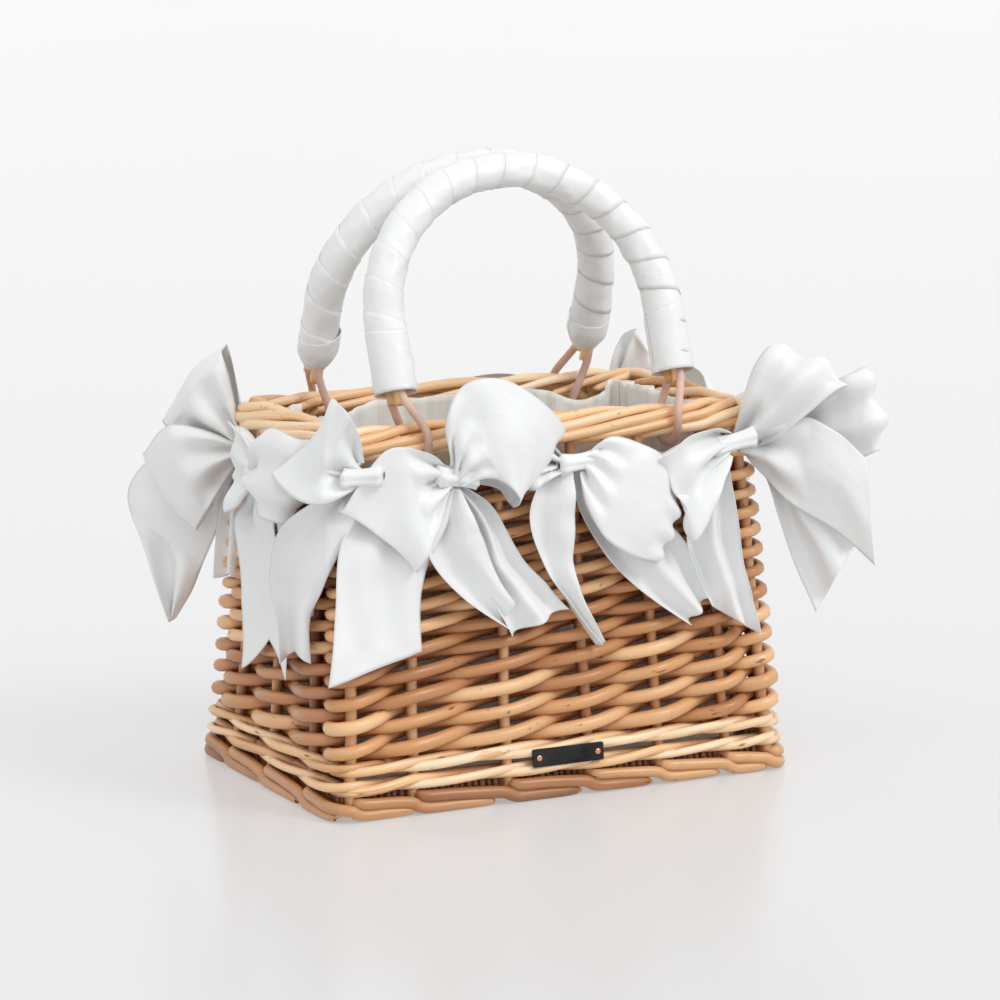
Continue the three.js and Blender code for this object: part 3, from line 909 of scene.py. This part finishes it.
def end_bow(name, side, seed):
    """Two loops that meet in a V on an end wall, over a broad notched tail and a second."""
    bow = Ribbons(wall_place(side, 0.0), seed)
    left_loop = [
        (4, 174, 13, 2, 162, 13), (-6, 187, 19, -6, 150, 18), (-18, 192, 21, -16, 145, 20),
        (-28, 188, 14, -26, 145, 13), (-27, 186, 7, -25, 148, 7), (-6, 180, 6, -6, 158, 6),
        (4, 174, 6, 2, 164, 6),
    ]
    right_loop = [
        (10, 174, 13, 12, 162, 13), (22, 190, 19, 20, 152, 18), (38, 197, 21, 30, 150, 20),
        (52, 194, 14, 42, 148, 13), (51, 192, 7, 41, 150, 7), (30, 184, 6, 26, 160, 6),
        (10, 172, 6, 12, 164, 6),
    ]
    broad_tail = [
        (0, 166, 10, 10, 164, 10), (-18, 152, 9, 16, 150, 10), (-27, 136, 9, 22, 136, 9),
        (-21, 100, 8, 33, 106, 8), (-17, 61, 7, 40, 67, 7),
    ]
    second_tail = [
        (8, 166, 7, 14, 166, 7), (18, 148, 6, 36, 150, 6), (24, 122, 6, 50, 126, 6),
        (34, 98, 6, 58, 102, 6),
    ]
    bow.lay(second_tail, pleats=3, crown=2, cut=swallow(0.1))
    bow.lay(broad_tail, pleats=3, crown=3, cut=swallow(0.13, -0.01))
    bow.lay(left_loop, steps=72, pleats=4, crown=5)
    bow.lay(right_loop, steps=72, pleats=4, crown=5)
    bow.knot(8, 169, 14, half=9, thick=5.0)
    bow.build(name + "_ribbon", [name])


def crosswise_bow(name, sign_x, sign_y, seed):
    """Lies across a corner: a big loop turned back over it, and a tail that twists as it hangs."""
    flat = corner_place(sign_x, sign_y, radial=False)
    bow = Ribbons(lambda a, z, o: flat(a, z, o - 0.4 * abs(a)), seed)
    big_loop = [
        (18, 184, 18, 16, 173, 18), (17, 199, 23, 3, 165, 23), (12, 211, 24, -14, 165, 26),
        (3, 215, 16, -31, 175, 24), (3, 213, 9, -29, 176, 16), (8, 196, 8, -10, 172, 10),
        (14, 182, 9, 12, 174, 9),
    ]
    twisted_tail = [
        (12, 172, 14, 20, 172, 15), (-8, 163, 18, 16, 160, 18), (-28, 147, 22, 9, 145, 17),
        (-35, 122, 22, -4, 119, 14), (-31, 100, 20, -13, 101, 13), (-30, 77, 19, -13, 78, 12),
    ]
    bow.lay(twisted_tail, steps=64, pleats=2, crown=5, deep=4, cut=swallow(0.06))
    bow.lay(big_loop, steps=72, pleats=4, crown=5)
    bow.knot(18, 177, 21, half=10, thick=5.0, tilt=1.0)
    bow.build(name + "_ribbon", [name])


def wall_half(bow):
    """The half of a corner bow that lies on the long wall: one hanging loop and one tail."""
    hanging_loop = [
        (98, 183, 14, 94, 170, 14), (86, 187, 20, 88, 158, 19), (66, 185, 27, 78, 142, 25),
        (50, 175, 24, 68, 130, 23), (52, 174, 15, 70, 133, 15), (76, 180, 8, 82, 152, 8),
        (96, 178, 7, 94, 170, 7),
    ]
    tail = [
        (86, 174, 12, 94, 176, 12), (77, 156, 12, 97, 157, 14), (70, 134, 11, 100, 135, 13),
        (75, 114, 10, 104, 113, 11), (84, 94, 9, 109, 94, 10), (92, 77, 9, 113, 76, 9),
    ]
    bow.lay(tail, steps=60, pleats=3, crown=4, cut=lambda s: 0.19 * (1 - s))
    bow.lay(hanging_loop, steps=72, pleats=4, crown=5)
    bow.knot(100, 178, 13, half=13, thick=4.8, tilt=2.5)


def right_fin_bow(name, side, signs, seed):
    """Stands out from its corner: a loop up, a loop and a broad tail outward, a tail down."""
    bow = Ribbons(wall_place(side, 0.0), seed)
    wall_half(bow)
    bow.place = corner_place(*signs, radial=True, mirror=-1)
    up_loop = [
        (-4, 179, 4, 2, 170, 4), (0, 197, 9, 18, 178, 10), (5, 213, 11, 35, 192, 12),
        (11, 224, 6, 51, 206, 7), (12, 223, 0, 52, 205, 0), (4, 200, -2, 22, 184, -2),
        (-4, 178, -2, 2, 170, -2),
    ]
    out_loop = [
        (0, 177, -3, 0, 168, -3), (24, 197, -7, 20, 160, -6), (46, 208, -8, 44, 160, -7),
        (58, 214, -9, 66, 170, -8), (58, 213, -15, 65, 170, -14), (30, 198, -14, 26, 164, -12),
        (0, 176, -8, 0, 168, -8),
    ]
    broad_tail = [
        (0, 176, 3, 0, 167, 3), (14, 187, 5, 10, 157, 5), (34, 190, 7, 30, 141, 7),
        (52, 181, 6, 50, 130, 6), (66, 168, 3, 71, 113, 4),
    ]
    down_tail = [
        (2, 168, 0, 8, 170, 0), (12, 152, 0, 28, 160, 0), (20, 128, 0, 44, 146, 0),
        (29, 104, -1, 54, 134, -1), (38, 84, -2, 60, 124, -2),
    ]
    bow.lay(out_loop, steps=72, pleats=4, crown=4)
    bow.lay(down_tail, pleats=3, crown=2)
    bow.lay(broad_tail, pleats=4, crown=3)
    bow.lay(up_loop, steps=72, pleats=4, crown=5)
    bow.knot(-2, 174, 3, half=10, thick=5.0, tilt=0.5)
    bow.build(name + "_ribbon", [name])


def left_fin_bow(name, side, signs, seed):
    """Stands out from its corner: a tall loop, a drooping loop, and a tail like a kite."""
    bow = Ribbons(wall_place(side, 0.0), seed)
    wall_half(bow)
    bow.place = corner_place(*signs, radial=True, mirror=1)
    tall_loop = [
        (-2, 178, 2, -2, 168, 2), (2, 198, 4, 14, 172, 6), (5, 213, 4, 30, 176, 7),
        (9, 222, 1, 42, 180, 3), (8, 221, -6, 40, 180, -4), (0, 180, -5, 0, 168, -5),
    ]
    drooping_loop = [
        (0, 174, 8, -2, 164, 8), (18, 181, 13, 6, 150, 13), (36, 181, 13, 14, 136, 14),
        (51, 166, 7, 22, 125, 8), (50, 166, 0, 22, 128, 0), (20, 176, -2, 8, 150, -2),
        (0, 172, -3, -2, 166, -3),
    ]
    kite_tail = [
        (6, 170, -3, 0, 160, -3), (30, 171, -5, 8, 144, -4), (54, 160, -7, 14, 128, -5),
        (68, 139, -7, 21, 110, -5), (56, 106, -6, 30, 90, -5), (42, 72, -5, 40, 74, -5),
    ]
    inner_tail = [
        (-4, 166, 1, 4, 166, 1), (-8, 146, 4, 10, 146, 1), (-9, 120, 8, 14, 122, 1),
        (-7, 96, 9, 16, 98, 2),
    ]
    bow.lay(kite_tail, steps=64, pleats=3, crown=4)
    bow.lay(inner_tail, pleats=3, crown=2, cut=swallow(0.1))
    bow.lay(tall_loop, steps=64, pleats=4, crown=4)
    bow.lay(drooping_loop, steps=72, pleats=4, crown=5)
    bow.knot(-2, 170, 5, half=8, thick=5.0)
    bow.build(name + "_ribbon", [name])


def all_bows():
    left_bow("bow_front_left", FRONT, 10)
    left_bow("bow_back_left", BACK, 50)
    middle_bow("bow_front_middle", FRONT, 20)
    middle_bow("bow_back_middle", BACK, 60)
    end_bow("bow_end_left", LEFT, 30)
    end_bow("bow_end_right", RIGHT, 70)
    crosswise_bow("bow_corner_front_left", -1, -1, 40)
    crosswise_bow("bow_corner_back_right", 1, 1, 80)
    right_fin_bow("bow_corner_front_right", FRONT, (1, -1), 90)
    left_fin_bow("bow_corner_back_left", BACK, (-1, 1), 100)


# ---------------------------------------------------------------- handles
LEG_TOP = 60 * MM
CANE_FOOT = 19 * MM
WRAP_FOOT = 24 * MM
CANE_RADIUS = 3.4 * MM
CORE_RADIUS = 8.5 * MM
WRAP_WIDTH = 25 * MM
WRAP_PITCH = 17 * MM
WRAP_THICKNESS = 0.3 * MM
GATHERED_END = 13 * MM


class Handle:
    """One bent handle: its middle line, from one foot over to the other, from the frame."""

    def __init__(self, side):
        self.name, self.body = f"handle_{side}", f"{side}_handle"
        low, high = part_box(f"{self.name}_core")
        joint = next(j for j in frame["joints"] if j["child"] == self.body)
        self.hinge = Vector(joint["pos_m"])
        self.inward = 1 if self.hinge.y < 0 else -1
        self.half_span = high[0] - CORE_RADIUS
        inner = high[1] if self.inward > 0 else low[1]
        apex = Vector((0, inner - self.inward * CORE_RADIUS, high[2] - CORE_RADIUS))
        self.up = (apex - self.hinge).normalized()
        self.rise = (apex - self.hinge).length
        self.crown = self.rise - LEG_TOP
        self.aside = Vector((1, 0, 0)).cross(self.up)
        self.rows = self.measure()
        self.length = self.rows[-1][0]

    def spot(self, x, up):
        return self.hinge + Vector((x, 0, 0)) + self.up * up

    def measure(self):
        """Rows of (length so far, point) along the middle line, from the wrap's foot."""
        path = [self.spot(-self.half_span, WRAP_FOOT + (LEG_TOP - WRAP_FOOT) * i / 12)
                for i in range(12)]
        for i in range(121):
            angle = math.pi * (1 - i / 120)
            path.append(self.spot(self.half_span * math.cos(angle),
                                  LEG_TOP + self.crown * math.sin(angle)))
        path += [self.spot(self.half_span, LEG_TOP - (LEG_TOP - WRAP_FOOT) * i / 12)
                 for i in range(1, 13)]
        rows, run = [(0.0, path[0])], 0.0
        for before, here in zip(path, path[1:]):
            run += (here - before).length
            rows.append((run, here))
        return rows

    def at(self, length):
        """The middle line's point and direction at a length along it."""
        length = max(0.0, min(self.length, length))
        i = 0
        while i < len(self.rows) - 2 and self.rows[i + 1][0] < length:
            i += 1
        (run, here), (_, there) = self.rows[i], self.rows[i + 1]
        ahead = (there - here).normalized()
        return here + ahead * (length - run), ahead

    def skin(self, length, angle, radius):
        """A point round the middle line, at a radius and an angle from straight inward."""
        beyond = length - max(0.0, min(self.length, length))
        point, ahead = self.at(length)
        inward = ahead.cross(self.aside)
        spoke = inward * math.cos(angle) + self.aside * math.sin(angle)
        return point + ahead * beyond + spoke * radius


def wrap_radius(handle, length, angle, seed, gathered):
    """The satin's radius: fuller at the feet, slim at the top, with small creases."""
    share = abs(2 * length / handle.length - 1)
    radius = (8.9 + 1.5 * share ** 1.5) * MM
    lump = noise.noise(Vector((length * 22, math.cos(angle) * 0.7, seed + math.sin(angle) * 0.7)))
    slope = length * 130 + angle * 1.6
    crease = noise.noise(Vector((slope, angle * 0.9, seed + 7.0)))
    crease += 0.6 * noise.noise(Vector((length * 240 - angle * 2.1, angle * 1.7, seed + 3.0)))
    radius += lump * 1.1 * MM + crease * 0.75 * MM * (0.6 + 0.6 * (1 - share))
    end = min(length, handle.length - length)
    if gathered and end < GATHERED_END:
        round_off = max(0.0, end / GATHERED_END)
        radius *= 0.46 + 0.54 * math.sin(math.pi / 2 * round_off)
    return radius


def wound_wrap(handle, gathered, seed):
    """A ribbon wound from foot to foot, each turn over the edge of the next, and its ends."""
    points, faces, maps = [], [], []
    across, per_turn = 9, 44
    turns = (handle.length + WRAP_WIDTH) / WRAP_PITCH
    rows = round(turns * per_turn)
    for n in range(rows + 1):
        angle = 2 * math.pi * n / per_turn
        start = WRAP_PITCH * n / per_turn - WRAP_WIDTH
        for k in range(across + 1):
            share = k / across
            fringe = 1.6 * MM * noise.noise(Vector((angle * 0.35, seed, 2.0)))
            length = start + (WRAP_WIDTH + fringe) * share
            length = max(0.0, min(handle.length, length))
            radius = wrap_radius(handle, length, angle % (2 * math.pi), seed, gathered)
            radius += (0.7 * share - 0.15) * MM
            points.append(handle.skin(length, angle, radius))
            maps.append((WRAP_WIDTH * share, n * 63 * MM / per_turn))
    for n in range(rows):
        for k in range(across):
            corner = n * (across + 1) + k
            face = (corner, corner + across + 1, corner + across + 2, corner + 1)
            if (points[face[0]] - points[face[3]]).length > 0.2 * MM:
                faces.append(face)
    add_cuffs(handle, gathered, seed, points, faces, maps)
    corners = [maps[vertex] for face in faces for vertex in face]
    piece = cloth_piece(f"{handle.name}_ribbon", points, faces, corners, wrap_satin)
    thicken(piece, WRAP_THICKNESS)
    settle(piece, [f"{handle.name}_wrap"], handle.body)


def add_cuffs(handle, gathered, seed, points, faces, maps):
    """The ribbon's two ends: a straight turn over each foot, hemmed or drawn in."""
    tall, sides, rings = (20 if gathered else 34) * MM, 44, 18
    for foot in (0, 1):
        first = len(points)
        for i in range(rings + 1):
            for k in range(sides + 1):
                angle = 2 * math.pi * k / sides
                skew = 3.0 * MM * math.sin(angle + seed + foot * 2)
                inward = (tall + skew) * i / rings
                length = handle.length - inward if foot else inward
                radius = wrap_radius(handle, length, angle % (2 * math.pi), seed + 5, gathered)
                smooth = (10.3 if i < rings else 10.1) * MM
                if not gathered:
                    radius = radius * 0.35 + smooth * 0.65
                points.append(handle.skin(length, angle, radius + 0.7 * MM))
                maps.append((0.025 + inward * 0.4, angle * 10 * MM))
        for i in range(rings):
            for k in range(sides):
                corner = first + i * (sides + 1) + k
                face = (corner, corner + 1, corner + sides + 2, corner + sides + 1)
                faces.append(face if foot else face[::-1])


def canes(handle):
    """Two bent canes side by side inside the wrap, showing where it ends."""
    random.seed(61)
    mesh = RodMesh(sides=12)
    reach = WRAP_FOOT - CANE_FOOT
    for side, extra in ((-1, 0.0), (1, 1.8 * MM)):
        path = []
        for n in range(81):
            length = -reach - extra + (handle.length + 2 * (reach + extra)) * n / 80
            point = handle.skin(length, 0.0, 0.0)
            path.append(point + handle.aside * side * 4.4 * MM)
        mesh.add(path, [CANE_RADIUS] * len(path), random.random(), 0.4)
    piece = mesh.build(f"{handle.name}_canes", cane)
    settle(piece, [f"{handle.name}_core"], handle.body)


def smooth_copy(node, name, material, body, levels):
    """A finer piece shaped exactly on a frame node: its mesh merged, smoothed and finished."""
    source = frame["nodes"][node]
    piece = bpy.data.objects.new(name, source.data.copy())
    bpy.context.scene.collection.objects.link(piece)
    piece.data.materials.clear()
    piece.data.materials.append(material)
    finish_with(piece, "WELD", merge_threshold=0.01 * MM)
    if levels:
        finish_with(piece, "SUBSURF", levels=levels, render_levels=levels)
    smooth_all(piece)
    settle(piece, [node], body)
    return piece


def leather_loops(handle):
    """The leather cords, as full and round as the cord is before its facets are smoothed."""
    for side in ("left", "right"):
        node = f"{handle.name}_loop_{side}"
        piece = smooth_copy(node, node + "_cord", leather, handle.body, 2)
        for vertex in piece.data.vertices:
            vertex.co += vertex.normal * 0.22 * MM


def handles():
    for side, gathered, seed in (("front", False, 3.0), ("back", True, 8.0)):
        handle = Handle(side)
        canes(handle)
        wound_wrap(handle, gathered, seed)
        leather_loops(handle)


# ---------------------------------------------------------------- lining
LOOP_X = 76 * MM
COTTON_THICKNESS = 0.9 * MM
LINING_CORNER = 12 * MM
LINING_INS = 16
LINING_UPS = 52


def lining_top(point, top):
    """The cloth's upper edge: a little wavy, and let down where the four loops pass."""
    sag = 0.0
    for x in (-LOOP_X, LOOP_X):
        away = (point.x - x) / (17 * MM)
        if abs(point.y) > abs(point.x) * 0.55:
            sag += 10 * MM * math.exp(-away * away)
    ripple = noise.noise(Vector((point.x * 26, point.y * 26, 4.0)))
    return top + 1.0 * MM - sag + 3.0 * MM * ripple


def lining_bottom(distance, floor_z, inset):
    """A row from the middle of the bottom out to the wall, lightly puffed."""
    edge = walls.point(distance, floor_z, -1.0 * MM, LINING_CORNER, inset)
    row = []
    for i in range(LINING_INS):
        share = i / LINING_INS
        puff = noise.noise(Vector((edge.x * share * 30, edge.y * share * 30, 1.0)))
        row.append(Vector((edge.x * share, edge.y * share, floor_z + puff * 1.4 * MM)))
    return row


def lining_side(distance, turn, floor_z, top, inset, corner_pull):
    """A row from the bottom up to the cloth's edge, with folds that grow upwards."""
    ring = Vector((math.cos(turn), math.sin(turn), 0)) * 4.2
    gathers = noise.noise(ring * 2.6 + Vector((0, 0, 9.0)))
    small = noise.noise(ring * 7.0 + Vector((0, 0, 2.0)))
    row = []
    for i in range(LINING_UPS + 1):
        share = i / LINING_UPS
        z = floor_z + (top - floor_z) * share
        fold = (gathers * 6.0 + small * 1.3) * (0.25 + 0.75 * share)
        fold += corner_pull * 2.0 * math.sin(turn * 31) * share
        fold += 1.2 * noise.noise(Vector((distance * 30, z * 34, 7.0)))
        inward = max(0.0, 3.2 + fold + 2.5 * share ** 4) * MM
        row.append((walls.point(distance, z, -inward, LINING_CORNER, inset), z))
    return row


def lining_cloth():
    """One closed ring of cotton inside the walls, soft folds above, drawn flat at the bottom."""
    low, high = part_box("lining")
    inset = walls.half(low[2]).x - high[0] + 0.5 * MM
    floor_z, rounds = low[2] + 5 * MM, 620
    points, faces, maps = [], [], []
    for n in range(rounds):
        distance = walls.around * n / rounds
        guide = walls.point(distance, high[2], 0.0, LINING_CORNER, inset)
        corner_pull = max(0.0, guide.x / 0.11) * max(0.0, guide.y / 0.065)
        top = lining_top(guide, high[2])
        turn = 2 * math.pi * n / rounds
        bottom = lining_bottom(distance, floor_z, inset)
        side = lining_side(distance, turn, floor_z, top, inset, corner_pull)
        points += bottom + [place for place, z in side]
        maps += [(place.x, place.y) for place in bottom] + [(distance, z) for place, z in side]
    column = LINING_INS + LINING_UPS + 1
    for n in range(rounds):
        here, after = n * column, ((n + 1) % rounds) * column
        for i in range(column - 1):
            faces.append((here + i, here + i + 1, after + i + 1, after + i))
    corners = [maps[vertex] for face in faces for vertex in face]
    piece = cloth_piece("lining_cloth", points, faces, corners, cotton)
    finish_with(piece, "WELD", merge_threshold=0.02 * MM)
    thicken(piece, COTTON_THICKNESS)
    settle(piece, ["lining"])


# ---------------------------------------------------------------- plate and studs
def plate_and_studs():
    """The blank plate with softened edges, and the two domed heads that hold it."""
    plate = smooth_copy("name_plate", "name_plate_metal", black_metal, BASKET, 0)
    finish_with(plate, "BEVEL", width=0.25 * MM, segments=3, limit_method="ANGLE")
    smooth_all(plate, False)
    for i in (1, 2):
        node = f"plate_stud_{i}"
        smooth_copy(node, node + "_head", copper, BASKET, 2)


# ---------------------------------------------------------------- the whole basket
def basket():
    foot_border()
    base_weave()
    base_edge()
    upright_stakes()
    wale("lower_wale_rods", "lower_wale", 2, 2.4 * MM, 3, 1 * MM)
    side_weave()
    wale("upper_wale_rods", "upper_wale", 1, 2.1 * MM, 7, 0)
    rim_border()
    lining_cloth()
    plate_and_studs()
    all_bows()
    handles()


# ---------------------------------------------------------------- stage, light and camera
def floor_finish():
    """A smooth pale table, faintly clouded, bright by itself like a lit sweep of paper."""
    finish = Finish("pale_floor", 0.28, Emission_Strength=0.37, Specular_IOR_Level=0.22)
    cloud = finish.cloud(finish.place(), 1.3, 2.0)
    colour = finish.ramp(cloud, [(0.3, (0.345, 0.345, 0.35)), (0.7, (0.36, 0.36, 0.362))])
    finish.wear("Base Color", colour)
    finish.wear("Roughness", cloud * 0.06 + 0.2)
    finish.shader.inputs["Emission Color"].default_value = (1, 1, 1, 1)
    return finish.material


def hang(name, data, place, towards):
    """Puts a light or a camera in the scene, with its back turned towards a direction."""
    item = bpy.data.objects.new(name, data)
    bpy.context.scene.collection.objects.link(item)
    item.location = place
    item.rotation_euler = towards.to_track_quat("Z", "Y").to_euler()
    return item


def soft_sun(name, towards, strength, spread):
    """A far light, soft edged, coming from a direction."""
    lamp = bpy.data.lights.new(name, "SUN")
    lamp.energy, lamp.angle = strength, math.radians(spread)
    hang(name, lamp, (0, 0, 0), Vector(towards))


def soft_box(name, place, size, strength):
    """A square light hung at a place, facing the basket."""
    lamp = bpy.data.lights.new(name, "AREA")
    lamp.energy, lamp.size = strength, size
    hang(name, lamp, place, Vector(place) - Vector((0, 0, 0.15)))


def stage():
    bpy.ops.mesh.primitive_plane_add(size=60)
    floor = bpy.context.object
    floor.name = "floor"
    floor.data.materials.append(floor_finish())
    world = bpy.data.worlds.new("studio")
    world.use_nodes = True
    world.node_tree.nodes["Background"].inputs["Color"].default_value = (1, 1, 1, 1)
    world.node_tree.nodes["Background"].inputs["Strength"].default_value = 0.86
    bpy.context.scene.world = world
    bpy.context.scene.view_settings.view_transform = "Standard"
    soft_sun("key", (0.45, -0.62, 0.75), 0.95, 22)
    soft_box("overhead", (-0.5, -0.5, 1.3), 0.5, 1.6)


def camera():
    azimuth, elevation, away = math.radians(-26.56), math.radians(11.82), 2.243
    target = Vector((0, 0, 0.0945))
    back = Vector((
        math.sin(azimuth) * math.cos(elevation), -math.cos(azimuth) * math.cos(elevation),
        math.sin(elevation),
    ))
    lens = bpy.data.cameras.new("view")
    lens.lens = 151.8
    lens.sensor_width = 36
    lens.shift_x, lens.shift_y = 0.007, 0.0875
    eye = bpy.data.objects.new("view", lens)
    bpy.context.scene.collection.objects.link(eye)
    eye.location = target + back * away
    eye.rotation_euler = (-back).to_track_quat("-Z", "Y").to_euler()
    bpy.context.scene.camera = eye


basket()
stage()
camera()
